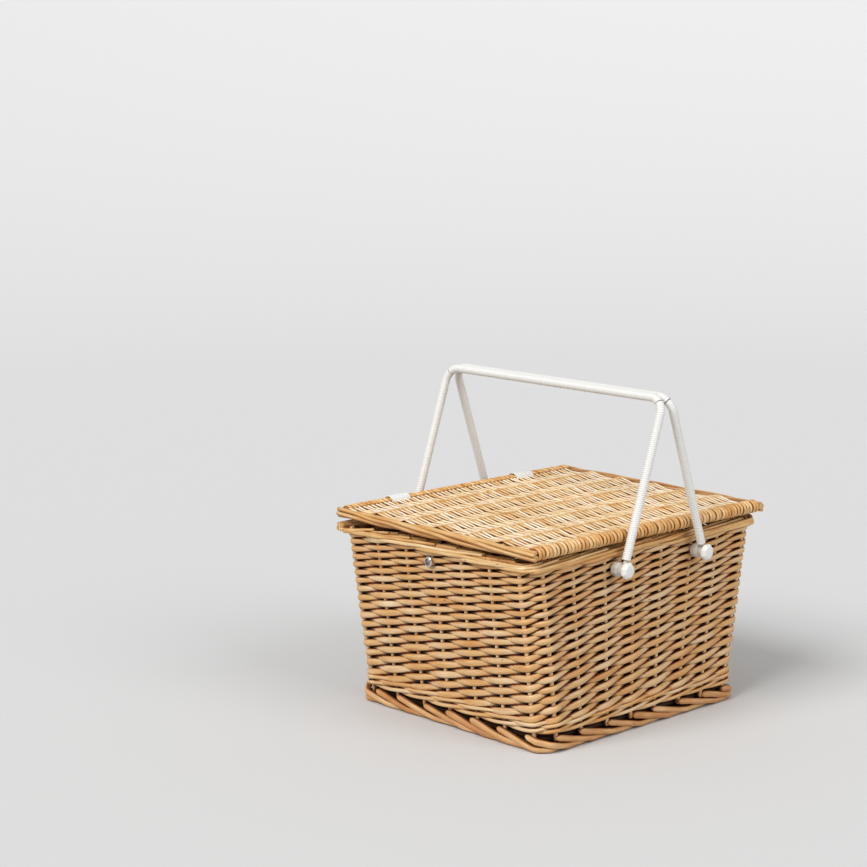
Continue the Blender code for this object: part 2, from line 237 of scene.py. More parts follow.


# Peeled buff willow, boiled and stripped: satin rods, tan to straw, with a faint long grain and
# small
# dark leaf scars, and painted shade: brown along the sides where one rod meets the next, near black
# where it is tucked behind another. The edge colour serves both the grain streaks and this edge
# shade.
def willowMaterial(name, colours, recessShade, edge, knots=0.3, rough=0.48, recessShadeAmount=0.75,
                   edgeShadeAmount=0.6):
    made, tree, shader = startMaterial(name, {"Roughness": rough, "IOR": 1.5})
    space, parts = rodAttributes(tree)
    # Grain lines 0.9 mm apart and about 20 mm long: real fibres are finer, and wouldn't show.
    stretched = node(tree, "Mapping", {"Vector": (space, "Vector"), "Scale": (50, 1100, 1100)})
    grain = node(tree, "TexNoise", {"Vector": (stretched, "Vector"), "Scale": 1.0,
                                              "Detail": 3.0, "Roughness": 0.6})
    # Blotches about 30 mm long, where the bark's tannin stained the wood.
    slow = node(tree, "Mapping", {"Vector": (space, "Vector"), "Scale": (32, 120, 120)})
    blotch = node(tree, "TexNoise", {"Vector": (slow, "Vector"), "Scale": 1.0, "Detail": 2.0})
    centred = node(tree, "Math", {0: (blotch, "Fac"), 1: -0.5}, operation="ADD")
    swing = node(tree, "Math", {0: (centred, "Value"), 1: 1.1}, operation="MULTIPLY")
    place = node(tree, "Math", {0: (parts, "X"), 1: (swing, "Value")}, operation="ADD",
                 use_clamp=True)
    ramp = node(tree, "ValToRGB", {"Fac": (place, "Value")})
    setRamp(ramp, colours)
    streak = node(tree, "MapRange", {"Value": (grain, "Fac"), "From Min": 0.35,
                                               "From Max": 0.75, "To Min": 0.0, "To Max": 0.38})
    grained = mixColour(tree, (streak, "Result"), (ramp, "Color"), linear(edge))
    # Painted shade: brown along the sides of each rod, where its neighbours meet it.
    side = node(tree, "MapRange", {"Value": (parts, "Z"), "From Min": 0.72, "From Max": 0.22,
                                             "To Min": 0.0, "To Max": edgeShadeAmount},
                interpolation_type="SMOOTHSTEP")
    edgeShaded = mixColour(tree, (side, "Result"), grained, linear(edge))
    # Painted shade: darker still, near black, where the rod is tucked behind another.
    back = node(tree, "MapRange", {"Value": (parts, "Y"), "From Min": 0.52, "From Max": 0.14,
                                             "To Min": 0.0, "To Max": recessShadeAmount},
                interpolation_type="SMOOTHSTEP")
    recessShaded = mixColour(tree, (back, "Result"), edgeShaded, linear(recessShade))
    # Leaf scars: dots 1 to 2 mm across, on a share of the cells of a 17 mm grid given by knots.
    cells = node(tree, "Mapping", {"Vector": (space, "Vector"), "Scale": (60, 220, 220)})
    scars = node(tree, "TexVoronoi", {"Vector": (cells, "Vector"), "Scale": 1.0})
    chosen = node(tree, "SeparateColor", {"Color": (scars, "Color")})
    pick = node(tree, "Math", {0: (chosen, "Red"), 1: knots}, operation="LESS_THAN")
    spot = node(tree, "MapRange", {"Value": (scars, "Distance"), "From Min": 0.13,
                                             "From Max": 0.07, "To Min": 0.0, "To Max": 0.85})
    scar = node(tree, "Math", {0: (pick, "Value"), 1: (spot, "Result")}, operation="MULTIPLY")
    scarred = mixColour(tree, (scar, "Value"), recessShaded, linear("#4A2A14"))
    shine = node(tree, "MapRange", {"Value": (grain, "Fac"), "From Min": 0.3, "From Max": 0.8,
                                              "To Min": rough - 0.08, "To Max": rough + 0.16})
    lumps = node(tree, "Math", {0: (grain, "Fac"), 1: (scar, "Value")}, operation="SUBTRACT")
    bump = node(tree, "Bump", {"Height": (lumps, "Value"), "Strength": 0.5, "Distance": 0.0003})
    wire(tree, shader, {"Base Color": scarred, "Roughness": (shine, "Result"),
                        "Normal": (bump, "Normal")})
    return made


# White PVC cane, extruded and wound: dull soft shine, a faint line along each strand, and painted
# shade, grey, in the grooves between turns.
def caneMaterial(name):
    made, tree, shader = startMaterial(name, {"Roughness": 0.36, "IOR": 1.53})
    space, parts = rodAttributes(tree)
    scaled = node(tree, "Mapping", {"Vector": (space, "Vector"), "Scale": (260, 60, 60)})
    cloud = node(tree, "TexNoise", {"Vector": (scaled, "Vector"), "Scale": 1.0, "Detail": 2.0})
    shade = node(tree, "MapRange", {"Value": (cloud, "Fac"), "From Min": 0.35, "From Max": 0.7,
                                              "To Min": 0.0, "To Max": 0.5})
    body = mixColour(tree, (shade, "Result"), linear("#E2E1DE"), linear("#D2D1CD"))
    # Painted shade: grey in the grooves between the turns.
    groove = node(tree, "MapRange", {"Value": (parts, "Y"), "From Min": 0.75, "From Max": 0.0,
                                               "To Min": 0.0, "To Max": 0.62})
    grooveShaded = mixColour(tree, (groove, "Result"), body, linear("#97938B"))
    shine = node(tree, "MapRange", {"Value": (cloud, "Fac"), "From Min": 0.3, "From Max": 0.7,
                                              "To Min": 0.3, "To Max": 0.46})
    bump = node(tree, "Bump", {"Height": (cloud, "Fac"), "Strength": 0.12, "Distance": 0.0002})
    wire(tree, shader, {"Base Color": grooveShaded, "Roughness": (shine, "Result"),
                        "Normal": (bump, "Normal")})
    return made


# White moulded polypropylene: smooth soft gloss with the faintest ripple from the mould.
def mouldedMaterial(name, light, dark):
    made, tree, shader = startMaterial(name, {"Roughness": 0.3, "IOR": 1.49})
    where = node(tree, "TexCoord")
    cloud = node(tree, "TexNoise", {"Vector": (where, "Object"), "Scale": 350.0, "Detail": 2.0})
    body = mixColour(tree, (cloud, "Fac"), linear(light), linear(dark))
    shine = node(tree, "MapRange", {"Value": (cloud, "Fac"), "To Min": 0.22, "To Max": 0.4})
    bump = node(tree, "Bump", {"Height": (cloud, "Fac"), "Strength": 0.08, "Distance": 0.0002})
    wire(tree, shader, {"Base Color": body, "Roughness": (shine, "Result"),
                        "Normal": (bump, "Normal")})
    return made


# Metal: nickel plate is bright and even, drawn steel wire duller; both have a fine uneven shine.
def metalMaterial(name, light, dark, rough):
    made, tree, shader = startMaterial(name, {"Metallic": 1.0})
    where = node(tree, "TexCoord")
    cloud = node(tree, "TexNoise", {"Vector": (where, "Object"), "Scale": 900.0, "Detail": 3.0})
    body = mixColour(tree, (cloud, "Fac"), linear(light), linear(dark))
    shine = node(tree, "MapRange", {"Value": (cloud, "Fac"), "To Min": rough - 0.06,
                                              "To Max": rough + 0.1})
    wire(tree, shader, {"Base Color": body, "Roughness": (shine, "Result")})
    return made


# Tan rods with painted shade, deep brown along the sides and near black behind, so that each leaf
# of the weave stands apart.
wallWillow = willowMaterial(
    "peeledBuffWillow", ((0.0, "#C48F55"), (0.35, "#D2A973"), (0.7, "#DABD94"), (1.0, "#E4CFAC")),
    "#160A03", "#7A3D14", edgeShadeAmount=0.95, recessShadeAmount=0.96)
# Thicker pale uprights and sticks, seen in the gaps.
stakeWillow = willowMaterial(
    "buffWillowStakes", ((0.0, "#C99A68"), (0.5, "#DDB98B"), (1.0, "#E9CFA6")),
    "#2E1A0D", "#7A4723", knots=0.1)
# Browner, less scraped rods at the foot and inside the lid rolls.
borderWillow = willowMaterial(
    "thickBuffWillow", ((0.0, "#B27B4A"), (0.35, "#C49360"), (0.7, "#D2A977"), (1.0, "#DFBE90")),
    "#1E0E05", "#7A3E17", edgeShadeAmount=0.85, recessShadeAmount=0.9)
# The palest and glossiest willow: thin weavers with dark slots between.
lidWillow = willowMaterial(
    "paleSplitWillow", ((0.0, "#D0954F"), (0.35, "#E2B87C"), (0.7, "#F2D9AC"), (1.0, "#FBEFD6")),
    "#1E0D04", "#8A4C1C", rough=0.4, edgeShadeAmount=0.8, recessShadeAmount=0.92)
# Long loose rods at the rim and lid ends, pale with soft edges.
edgeWillow = willowMaterial(
    "buffWillowEdgeRods", ((0.0, "#C79357"), (0.35, "#D6AC72"), (0.7, "#E0C18E"), (1.0, "#EAD3A8")),
    "#2E190C", "#84491F", edgeShadeAmount=0.6)
whiteCane = caneMaterial("whitePlasticCane")
whitePlastic = mouldedMaterial("whiteMouldedPlastic", "#E4E3E0", "#D6D5D1")
# A greyer copy of the white plastic, as painted shade for the spacers in shadow; the cores get it
# too.
shadedWhitePlastic = mouldedMaterial("shadedWhiteMouldedPlastic", "#CFCBC3", "#BDB8AE")
nickelPlate = metalMaterial("nickelPlatedBrass", "#D9D7D2", "#BFBCB5", 0.2)
steelWire = metalMaterial("drawnSteelWire", "#A9A9AA", "#8A8A8C", 0.36)
print("materials made")


# The ring of stakes. Stake numbers run left to right round the walls, seen from outside: 0 to 7
# on the front, 8 to 14 on the right end, 15 to 22 on the back, 23 to 29 on the left end.
ring = {"stakes": 30, "cut": 0.0145, "soften": (-0.06, -0.03, 0.0, 0.03, 0.06)}
ringStops = np.array([0, 7, 8, 14, 15, 22, 23, 29])
ringSignX = np.array([-1, 1, 1, 1, 1, -1, -1, -1])
ringSignY = np.array([-1, -1, -1, 1, 1, 1, 1, -1])
ringCutX = np.array([1, 1, 0, 0, 1, 1, 0, 0])
ringCutY = 1 - ringCutX


# Straight lines between the corner stakes, softened by averaging five points close together.
def ringPoint(stake, halfX, halfY, cut):
    x = y = 0
    for shift in ring["soften"]:
        at = stake + shift
        x = x + (np.interp(at, ringStops, ringSignX, period=30) * halfX
                 - np.interp(at, ringStops, ringSignX * ringCutX, period=30) * cut)
        y = y + (np.interp(at, ringStops, ringSignY, period=30) * halfY
                 - np.interp(at, ringStops, ringSignY * ringCutY, period=30) * cut)
    share = len(ring["soften"])
    return np.stack(np.broadcast_arrays(x / share, y / share, np.zeros_like(x)), axis=-1)


def ringOutward(stake, halfX, halfY, cut):
    ahead = ringPoint(stake + 0.04, halfX, halfY, cut) - ringPoint(stake - 0.04, halfX, halfY, cut)
    return unit(np.stack([ahead[..., 1], -ahead[..., 0], np.zeros(ahead.shape[:-1])], axis=-1))


footLow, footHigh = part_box("foot_front")
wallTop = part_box("wall_front")[1].z
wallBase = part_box("wall_front")[0].z
wallSize = {
    "low": (footHigh.x - 0.0005, -footLow.y - 0.0005), "middle": 0.0064, "stakeRadius": 0.0025,
    "stakeOut": 0.0010, "high": (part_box("wall_right")[1].x, -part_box("wall_front")[0].y)}


# Half sizes of the walls' outer surface at a height: straight lines from foot to rim.
def wallHalf(height):
    part = (height - wallBase) / (wallTop - wallBase)
    return [low + (high - low) * part for low, high in zip(wallSize["low"], wallSize["high"])]


# A point of the walls: height up, offset out from the middle of the weave.
def wallPoint(stake, height, offset):
    halfX, halfY = (half - wallSize["middle"] for half in wallHalf(height))
    outward = ringOutward(stake, halfX, halfY, ring["cut"])
    place = ringPoint(stake, halfX, halfY, ring["cut"]) + outward * np.asarray(offset)[..., None]
    place[..., 2] = height
    return place, outward


# French randing. Rod m has height course (stake + m) / 2 and offset cos(pi (stake + m)): in front
# of one stake, behind the next, and one course up for every two stakes. Courses get thinner
# upwards.
randing = {"low": 0.0345, "courses": 16, "pitchLow": 0.0115, "pitchHigh": 0.0079,
           "stepsPerStake": 8, "fill": 0.365, "pinch": 0.10, "straight": 0.96, "rise": 0.065,
           "swing": 0.0033,
           "deepLow": 0.0029, "deepHigh": 0.0023}


def courseHeight(course):
    fall = (randing["pitchLow"] - randing["pitchHigh"]) / (2 * randing["courses"])
    return randing["low"] + randing["pitchLow"] * course - fall * course ** 2


def coursePitch(course):
    low, high = randing["pitchLow"], randing["pitchHigh"]
    return low + (high - low) * course / randing["courses"]


def randedRods(rodNumbers):
    rodNumbers = np.asarray(rodNumbers, float)[:, None]
    run = np.arange(-1, 2 * randing["courses"] + 1 + 1e-6, 1 / randing["stepsPerStake"])
    run = np.broadcast_to(run, (len(rodNumbers), len(run)))
    stake = (run - rodNumbers) % ring["stakes"]
    course = run / 2
    # A cosine pulled nearly straight between the stakes, as a stiff rod lies.
    swing = (np.arcsin(randing["straight"] * np.cos(np.pi * run))
             / math.asin(randing["straight"]))
    height = courseHeight(course + randing["rise"] * np.sin(np.pi * run)) + wander(run, 0.0003, 6.0)
    deep = np.interp(course, (0, randing["courses"]), (randing["deepLow"], randing["deepHigh"]))
    deep = deep * (1 + wander(run, 0.05, 14.0))
    wide = coursePitch(course) * randing["fill"] * (1 - randing["pinch"] * np.sin(np.pi * run) ** 2)
    wide = wide * (1 + wander(run, 0.09, 11.0))
    offset = (randing["swing"] + wander(run, 0.0004, 7.0)) * swing
    line, outward = wallPoint(stake, height, offset)
    tint = draw.uniform(0.35, 0.65, (len(rodNumbers), 1)) + wander(run, 0.16, 3.1)
    # Depth follows the swing, so painted shade darkens each rod where it passes behind a stake.
    return sweepRods(line, outward, wide, deep, tint, 0.5 + 0.5 * swing, sides=16,
                     reach=np.clip(0.66 + 0.85 * swing, 0.12, 1.0),
                     back=(0.5 - 0.5 * swing, np.clip(0.66 - 0.85 * swing, 0.12, 1.0)))


for half, label in ((0, "even"), (1, "odd")):
    stoodFor = (("wall_front", "wall_back"), ("wall_left", "wall_right"))[half]
    addPiece(f"randed_rods_{label}", randedRods(range(half, ring["stakes"], 2)), "basket",
             wallWillow, stoodFor)
print("walls randed")


# Stakes: upright rods, one at each number, standing in the weave from the base to the border.
stakeRun = np.linspace(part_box("base_panel")[0].z + 0.002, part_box("rim_front")[1].z - 0.004, 30)
stakeHeights = np.broadcast_to(stakeRun, (ring["stakes"], len(stakeRun)))
stakeNumbers = np.arange(ring["stakes"])[:, None] + draw.normal(0, 0.02, (ring["stakes"], 1))
stakeNumbers = stakeNumbers + wander(stakeHeights, 0.012, 0.11)
stakeLine, stakeOutward = wallPoint(stakeNumbers, stakeHeights,
                                    np.full_like(stakeHeights, wallSize["stakeOut"]))
stakeTint = draw.uniform(0.2, 0.9, (ring["stakes"], 1))
addPiece("wall_stakes", sweepRods(stakeLine, stakeOutward, wallSize["stakeRadius"],
                                  wallSize["stakeRadius"], stakeTint, 1.0, sides=8),
         "basket", stakeWillow,
         [f"corner_post_{a}_{b}" for a in ("front", "back") for b in ("left", "right")])


# Three-rod waling: each rod turns about the row like a strand of rope, once for every three stakes.
waling = {"rows": (0.0232, 0.0297), "rods": 3, "from": 22.4, "to": 53.2, "steps": 300,
          "rise": 0.0024, "swing": 0.0043, "radius": 0.0023}
waleShapes = []
for rowHeight in waling["rows"]:
    run = np.broadcast_to(np.linspace(waling["from"], waling["to"], waling["steps"]),
                          (waling["rods"], waling["steps"]))
    turn = 2 * np.pi * (run - np.arange(waling["rods"])[:, None]) / waling["rods"]
    line, outward = wallPoint(run % ring["stakes"],
                              rowHeight + waling["rise"] * np.sin(turn) + wander(run, 0.0004, 8.0),
                              waling["swing"] * (np.cos(turn) + 0.25))
    # Depth falls as a rod turns to the back of the rope, painting shade there.
    waleShapes.append(sweepRods(line, outward, waling["radius"] * (1 + wander(run, 0.12, 6.0)),
                                waling["radius"], 0.5 + wander(run, 0.35, 5.0),
                                0.55 + 0.45 * np.cos(turn), sides=8))
addPiece("bottom_waling", joined(waleShapes), "basket", wallWillow)
print("stakes and waling placed")


# Distance round a ring of given half sizes, turned back into stake numbers.
def stakeAt(distance, halfX, halfY, cut):
    fine = np.linspace(0, ring["stakes"], 2401)
    corners = ringPoint(fine, halfX, halfY, cut)
    length = np.concatenate([[0], np.cumsum(np.linalg.norm(np.diff(corners, axis=0), axis=1))])
    return np.interp(distance % length[-1], length, fine), length[-1]


# Foot border: short thick rods. Each starts high on the outside, runs down to the right until it
# lies on the floor, and ends tucked in behind the next ones.
foot = {"rods": 30, "length": 0.100, "high": 0.0150, "low": 0.0036, "wide": 0.0038,
        "tipWide": 0.0028, "deep": 0.0034, "cut": 0.0105, "sink": 0.0045, "sinkFrom": 0.45,
        "run": 0.56}
footHalf = (footHigh.x, -footLow.y)


def footRods():
    count = foot["rods"]
    halfX, halfY = (h - foot["deep"] - 0.0003 for h in footHalf)
    part = np.broadcast_to(np.linspace(0, 1, 30), (count, 30))
    length = foot["length"] * (1 + draw.normal(0, 0.06, (count, 1)))
    first = np.arange(count)[:, None] + draw.uniform(-0.10, 0.10, (count, 1)) + 0.15
    total = stakeAt(np.zeros(1), halfX, halfY, foot["cut"])[1]
    stake = stakeAt(first * total / count + length * part, halfX, halfY, foot["cut"])[0]
    # Down to the floor in the first part of its length, then level along it.
    fallen = np.clip(part / foot["run"], 0, 1)
    fallen = fallen ** 1.15 * (2 - fallen) ** 0.35
    height = foot["high"] + (foot["low"] - foot["high"]) * np.clip(fallen, 0, 1)
    height = height + wander(part, 0.0004, 0.9)
    inward = foot["sink"] * np.clip((part - foot["sinkFrom"]) / (1 - foot["sinkFrom"]), 0, 1) ** 1.2
    place = ringPoint(stake, halfX, halfY, foot["cut"])
    outward = ringOutward(stake, halfX, halfY, foot["cut"])
    line = place - outward * inward[..., None]
    wide = foot["wide"] + (foot["tipWide"] - foot["wide"]) * part
    wide = wide * (1 + draw.normal(0, 0.07, (count, 1)))
    wide = wide * (1 - 0.45 * np.clip(1 - part / 0.05, 0, 1) ** 2)
    line[..., 2] = np.maximum(height, wide + 0.0004)
    tint = draw.uniform(0.25, 0.8, (count, 1)) + wander(part, 0.15, 0.5)
    # Depth falls towards the tucked-in end, which gets a little painted shade.
    return sweepRods(line, outward, wide, np.minimum(foot["deep"], wide), tint,
                     1.0 - 0.5 * part ** 3, sides=12, dome=0.0006)


addPiece("foot_border", footRods(), "basket", borderWillow,
         ("foot_front", "foot_back", "foot_left", "foot_right"))

# Rods inside the foot that close the border from within, painted nearly black with shade by their
# low depth.
footInner = {"insets": (0.0125, 0.0135, 0.0125), "heights": (0.0056, 0.0118, 0.0172),
             "wide": 0.0033, "deep": 0.0027, "from": 0.1, "to": 30.6, "steps": 320}
insideRun = np.broadcast_to(np.linspace(footInner["from"], footInner["to"], footInner["steps"]),
                            (3, footInner["steps"]))
insideLine = np.stack([ringPoint(insideRun[k] % 30, footHalf[0] - inset, footHalf[1] - inset,
                                 foot["cut"])
                       for k, inset in enumerate(footInner["insets"])])
insideLine[..., 2] = np.array(footInner["heights"])[:, None] + wander(insideRun, 0.0004, 6.0)
insideOut = ringOutward(insideRun % 30, footHalf[0], footHalf[1], foot["cut"])
addPiece("foot_inner_rods", sweepRods(insideLine, insideOut, footInner["wide"], footInner["deep"],
                                      0.3, 0.1, sides=8),
         "basket", borderWillow)
print("foot border laid")


# Rim border: long thin rods that rise slowly to the right on three sides, in four layers from the
# outside in. A layer is its inset, its gaps to the rim's bottom and top, and how far round its
# first rod starts.
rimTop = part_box("rim_front")[1].z
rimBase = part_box("rim_front")[0].z
rimHalf = (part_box("rim_right")[1].x, -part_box("rim_front")[0].y)
rim = {"rods": 22, "length": 0.160, "radius": 0.0020, "cut": 0.012, "backEnds": 22.0, "from": 0.55,
       "to": 22.45, "shortest": 1.2,
       "layers": ((0.0, 0.0018, 0.0022, 0.0), (0.0035, 0.0012, 0.0026, 0.5),
                  (0.0075, 0.0020, 0.0022, 0.2), (0.0110, 0.0018, 0.0026, 0.7))}


def rimRods(inset, lowest, highest, start):
    count, radius = rim["rods"], rim["radius"]
    halfX, halfY = (h - inset - radius for h in rimHalf)
    total = stakeAt(np.zeros(1), halfX, halfY, rim["cut"])[1]
    part = np.broadcast_to(np.linspace(0, 1, 40), (count, 40))
    begin = (np.arange(count)[:, None] + start
             + draw.uniform(-0.2, 0.2, (count, 1))) * total / count
    length = rim["length"] * (1 + draw.normal(0, 0.08, (count, 1)))
    first, last = (stakeAt(begin + extra, halfX, halfY, rim["cut"])[0] for extra in (0, length))
    # The back is left to the hinge rods: stakes are counted from its left end, and a rod is cut
    # short where it would run into the back.
    around = ring["stakes"]
    span = (last - first) % around
    first = (first - rim["backEnds"]) % around
    first = np.where(first > around - 4, first - around, first)
    last = np.minimum(first + span, rim["to"] - draw.uniform(0, 0.35, (count, 1)))
    first = np.maximum(first, rim["from"] + draw.uniform(0, 0.35, (count, 1)))
    keep = (last - first)[:, 0] > rim["shortest"]
    stake = (first + (last - first) * part + rim["backEnds"]) % around
    place = ringPoint(stake, halfX, halfY, rim["cut"])
    outward = ringOutward(stake, halfX, halfY, rim["cut"])
    sink = (0.0035 * np.clip((0.10 - part) / 0.10, 0, 1)
            + 0.0034 * np.clip((part - 0.72) / 0.28, 0, 1))
    line = place - outward * (sink + wander(part, 0.0006, 0.8))[..., None]
    line[..., 2] = lowest + (highest - lowest) * part + wander(part, 0.0005, 0.7)
    wide = radius * (1.10 - 0.3 * part) * (1 + draw.normal(0, 0.06, (count, 1)))
    tint = draw.uniform(0.2, 0.8, (count, 1)) + wander(part, 0.2, 0.6)
    # Painted shade on the last fifth of each rod, where it sinks inward.
    depth = 1 - 0.55 * np.clip((part - 0.8) / 0.2, 0, 1)
    return sweepRods(line[keep], outward[keep], wide[keep], wide[keep] * 0.95, tint[keep],
                     depth[keep], sides=10, dome=0.0003)


addPiece("rim_border", joined([rimRods(inset, rimBase + low, rimTop - high, start)
                               for inset, low, high, start in rim["layers"]]),
         "basket", edgeWillow, ("rim_front", "rim_left", "rim_right"))

# The back of the rim: four rods twisted into one round hinge rod, thin enough for the straps to
# turn on.
hingeLow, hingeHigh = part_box("rim_hinge_rod")
hinge = {"rods": 4, "pitch": 0.16, "across": 0.0027, "radius": 0.0026}
hingeRun = np.broadcast_to(np.linspace(hingeLow.x, hingeHigh.x, 90), (hinge["rods"], 90))
hingeStart = np.arange(hinge["rods"])[:, None] / hinge["rods"]
hingeTurn = 2 * np.pi * (hingeRun / hinge["pitch"] + hingeStart)
hingeLine = np.stack([hingeRun,
                      (hingeLow.y + hingeHigh.y) / 2 + hinge["across"] * np.cos(hingeTurn),
                      (hingeLow.z + hingeHigh.z) / 2 + hinge["across"] * np.sin(hingeTurn)],
                     axis=-1)
hingeTint = np.array([[0.3], [0.6], [0.45], [0.75]])
addPiece("hinge_rods", sweepRods(hingeLine, np.array([0.0, 1.0, 0.0]), hinge["radius"],
                                 hinge["radius"], hingeTint, 0.9, sides=10),
         "basket", edgeWillow, ("rim_hinge_rod",))
print("rim laid")


# Base: weavers along X over and under sticks along Y, one plain weave.
baseLow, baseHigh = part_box("base_panel")
base = {"sticks": 11, "weavers": 50, "stickWide": 0.0035, "stickDeep": 0.0018, "weaverWide": 0.0024,
        "weaverDeep": 0.0014, "swing": 0.0017}
baseMiddle = (baseLow.z + baseHigh.z) / 2
stickX = np.linspace(baseLow.x + 0.006, baseHigh.x - 0.006, base["sticks"])
stickRun = np.broadcast_to(np.linspace(baseLow.y, baseHigh.y, 12), (base["sticks"], 12))
stickLine = np.stack([np.broadcast_to(stickX[:, None], stickRun.shape), stickRun,
                      np.full_like(stickRun, baseMiddle)], axis=-1)
weaverY = np.linspace(baseLow.y + 0.003, baseHigh.y - 0.003, base["weavers"])
weaverRun = np.broadcast_to(np.linspace(baseLow.x, baseHigh.x, 80), (base["weavers"], 80))
weaverPhase = np.pi * ((weaverRun - stickX[0]) / (stickX[1] - stickX[0])
                       + np.arange(base["weavers"])[:, None])
weaverLine = np.stack([weaverRun, weaverY[:, None] + wander(weaverRun, 0.0004, 0.1),
                       baseMiddle + base["swing"] * np.cos(weaverPhase)], axis=-1)
addPiece("base_weave", joined([
    sweepRods(stickLine, upwards, base["stickWide"], base["stickDeep"], 0.4, 0.9, sides=8),
    sweepRods(weaverLine, upwards, base["weaverWide"], base["weaverDeep"],
              draw.uniform(0.2, 0.8, (base["weavers"], 1)), 0.85, sides=6)]),
    "basket", stakeWillow, ("base_panel",))


# Lid: five sticks along X. Weaver j runs front to back, over a stick where cos(pi (stick number +
# j)) is 1 and under it where that is -1. It is widest on top of a stick, and midway between two
# sticks the weavers bunch in groups, so that slots open between the groups.
frontRollLow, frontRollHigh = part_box("lid_front_roll")
backRollLow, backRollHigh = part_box("lid_back_roll")
rollRadius = (frontRollHigh.z - frontRollLow.z) / 2
frontRollY = (frontRollLow.y + frontRollHigh.y) / 2
backRollY = (backRollLow.y + backRollHigh.y) / 2
lidMiddle = (frontRollLow.z + frontRollHigh.z) / 2
lidSticks = sorted(sum((corner.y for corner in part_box(f"lid_stick_{k}")), 0.0) / 2
                   for k in range(1, 6))
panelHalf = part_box("lid_panel")[1].x
lid = {"weavers": 112, "stickWide": 0.0038, "stickDeep": 0.0028, "swing": 0.0036, "deep": 0.00125,
       "narrow": 0.00128, "widen": 0.00142, "group": 0.0098, "bunch": 0.00135, "hook": 0.0040}

count = lid["weavers"]
weaverY = np.broadcast_to(np.linspace(frontRollY + 0.004, backRollY - 0.004, 96), (count, 96))
weaverX = np.linspace(-panelHalf + 0.002, panelHalf - 0.002, count)[:, None]
stops = [frontRollY] + lidSticks + [backRollY]
stickNumber = np.interp(weaverY, stops, range(len(stops)))
over = np.cos(np.pi * (stickNumber + np.arange(count)[:, None]))
band = np.floor(stickNumber)
bandPhase = draw.uniform(0, 2 * np.pi, 8)[band.astype(int) % 8]
midway = np.sin(np.pi * (stickNumber - band)) ** 2
bunched = lid["bunch"] * midway * np.sin(2 * np.pi * weaverX / lid["group"] + bandPhase
                                        + wander(weaverY, 0.5, 0.4))
# Flat between the sticks, with a short hump over or dip under each and a sideways hook where it
# crosses.
near = stickNumber - np.round(stickNumber)
crossing = np.abs(np.cos(np.pi * near))
hump = over * np.abs(over) ** 2.2
hook = lid["hook"] * np.sin(2 * np.pi * near) * crossing ** 10
lidLine = np.stack([weaverX + bunched + hook + wander(weaverY, 0.0003, 0.15), weaverY,
                    lidMiddle + 0.0006 + lid["swing"] * hump + wander(weaverY, 0.00015, 0.1)],
                   axis=-1)
lidWide = lid["narrow"] + lid["widen"] * np.clip(over, 0, 1) ** 3
lidWide = lidWide * (1 + wander(weaverY, 0.08, 0.2))
lidTint = draw.uniform(0.55, 1.0, (count, 1)) + wander(weaverY, 0.12, 0.13) - 0.45 * crossing ** 24
# Depth paints shade where a weaver dips under a stick and on its underside over a hump.
lidWeave = sweepRods(lidLine, upwards, lidWide, lid["deep"], lidTint,
                     1 - 0.95 * np.clip(-hump * 1.8, 0, 1), sides=8, flatness=0.85,
                     back=(1 - 0.9 * np.clip(hump, 0, 1), 1.0))
stickRun = np.broadcast_to(np.linspace(-panelHalf - 0.004, panelHalf + 0.004, 60), (5, 60))
stickLine = np.stack([stickRun, np.array(lidSticks)[:, None] + wander(stickRun, 0.0006, 0.2),
                      lidMiddle + wander(stickRun, 0.0003, 0.2)], axis=-1)
lidStickRods = sweepRods(stickLine, upwards, lid["stickWide"], lid["stickDeep"],
                         0.4, 0.7, sides=10)
addPiece("lid_weavers", lidWeave, "lid", lidWillow, ("lid_panel",))
addPiece("lid_sticks", lidStickRods, "lid", stakeWillow,
         [f"lid_stick_{k}" for k in range(1, 6)])
print("lid woven")


# Rolls: a thick rod with the weavers bent round it. Each rib is an arc about the rod, flush with
# the lid above and below, and every rib leans a little.
roll = {"ribs": 66, "ribWide": 0.00238, "ribDeep": 0.00175, "bend": 0.62 * np.pi, "tail": 0.012,
        "fall": 0.0035, "lean": 0.0016, "clear": 0.001, "core": 0.0022}
strapHalf = [(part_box(f"hinge_strap_{s}")[0].x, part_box(f"hinge_strap_{s}")[1].x)
             for s in ("left", "right")]


def rollRibs(rollY, facing, leaveOut):
    count = roll["ribs"]
    turn = np.broadcast_to(np.linspace(-roll["bend"], roll["bend"], 26), (count, 26))
    x = np.linspace(-panelHalf + 0.0015, panelHalf - 0.0015, count)[:, None]
    x = x + draw.normal(0, 0.00035, (count, 1))
    radius = rollRadius - roll["ribDeep"] + wander(turn, 0.00025, 3.0)
    # Angle 0 points away from the lid; the ends run in over and under the panel.
    y = rollY + facing * radius * np.cos(turn)
    inward = np.clip(np.abs(turn) - 0.5 * np.pi, 0, None)
    y = y - facing * inward * roll["tail"]
    rise = np.where(inward > 0, radius - inward * roll["fall"], radius * np.abs(np.sin(turn)))
    z = lidMiddle + np.sign(turn) * rise
    lean = roll["lean"] * turn / np.pi * (1 + draw.normal(0, 0.4, (count, 1))) * facing
    line = np.stack([x + lean + wander(turn, 0.0002, 2.5), y, z], axis=-1)
    middle = np.array([0, rollY, lidMiddle])
    outward = unit((line - middle) * np.array([0, 1, 1]))
    outward[..., 2] = np.where(inward > 0, np.sign(turn), outward[..., 2])
    wide = roll["ribWide"] * (1 + draw.normal(0, 0.09, (count, 1))) * (1 - 0.12 * inward)
    keep = np.ones(count, bool)
    for low, high in leaveOut:
        keep &= (x[:, 0] < low - roll["clear"]) | (x[:, 0] > high + roll["clear"])
    tint = draw.uniform(0.1, 0.55, (count, 1)) + wander(turn, 0.10, 2.0)
    wide, tint = (np.broadcast_to(v, turn.shape)[keep] for v in (wide, tint))
    return sweepRods(line[keep], outward[keep], wide, roll["ribDeep"], tint, 0.95, sides=8,
                     dome=0.0004)


